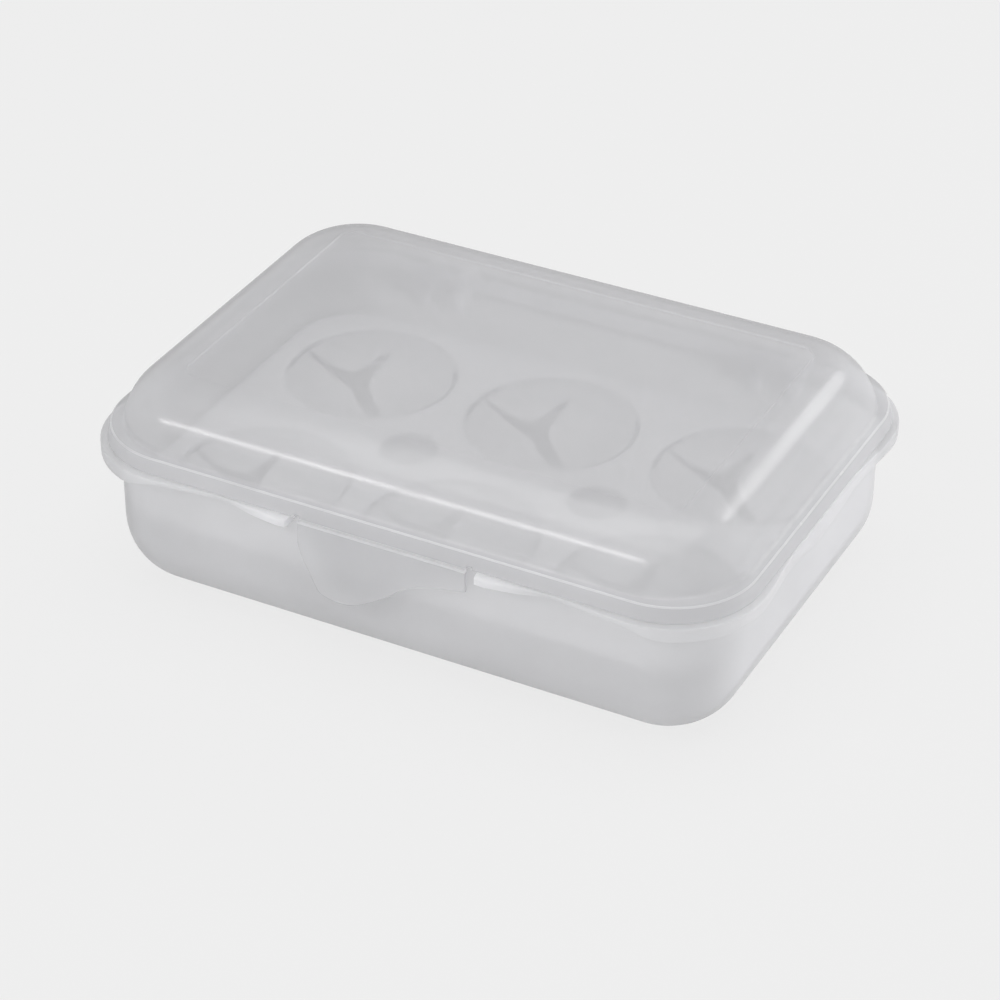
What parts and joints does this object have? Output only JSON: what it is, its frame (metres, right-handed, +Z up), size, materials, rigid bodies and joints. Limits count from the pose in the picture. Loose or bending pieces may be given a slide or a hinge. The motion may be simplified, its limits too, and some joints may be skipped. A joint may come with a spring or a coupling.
{
  "type": "egg keeper with flip lid",
  "caption": "Rectangular translucent egg box with a domed flip lid, a latch flap in front, snap hinges behind and a lift-out cup tray.",
  "frame": {"origin": "centre of the flat face under the tub, on which the box stands", "axes": "+X along the long side, to the right as seen from the latch; +Y from the latch at the front to the hinges at the back; +Z up"},
  "size_m": [0.2, 0.1493, 0.0649],
  "materials": {
    "tub_plastic": "frosted translucent polypropylene",
    "lid_plastic": "frosted translucent polypropylene, smoother than the tub",
    "tray_plastic": "frosted translucent polypropylene"
  },
  "bodies": {
    "tub": {"base_tub": "tub_plastic"},
    "lid": {"flip_lid": "lid_plastic"},
    "latch": {"latch_flap": "lid_plastic"},
    "tray": {"egg_tray": "tray_plastic"}
  },
  "joints": [
    {"name": "lid_hinge", "type": "hinge", "parent": "tub", "child": "lid", "pos_m": [0, 0.0745, 0.0413], "axis": [-1, 0, 0], "range_deg": [0, 180]},
    {"name": "latch_hinge", "type": "hinge", "parent": "lid", "child": "latch", "pos_m": [0, -0.0692, 0.04405], "axis": [-1, 0, 0], "range_deg": [0, 100]},
    {"name": "tray_lift", "type": "slide", "parent": "tub", "child": "tray", "axis": [0, 0, 1], "range_m": [0, 0.018]}
  ]
}
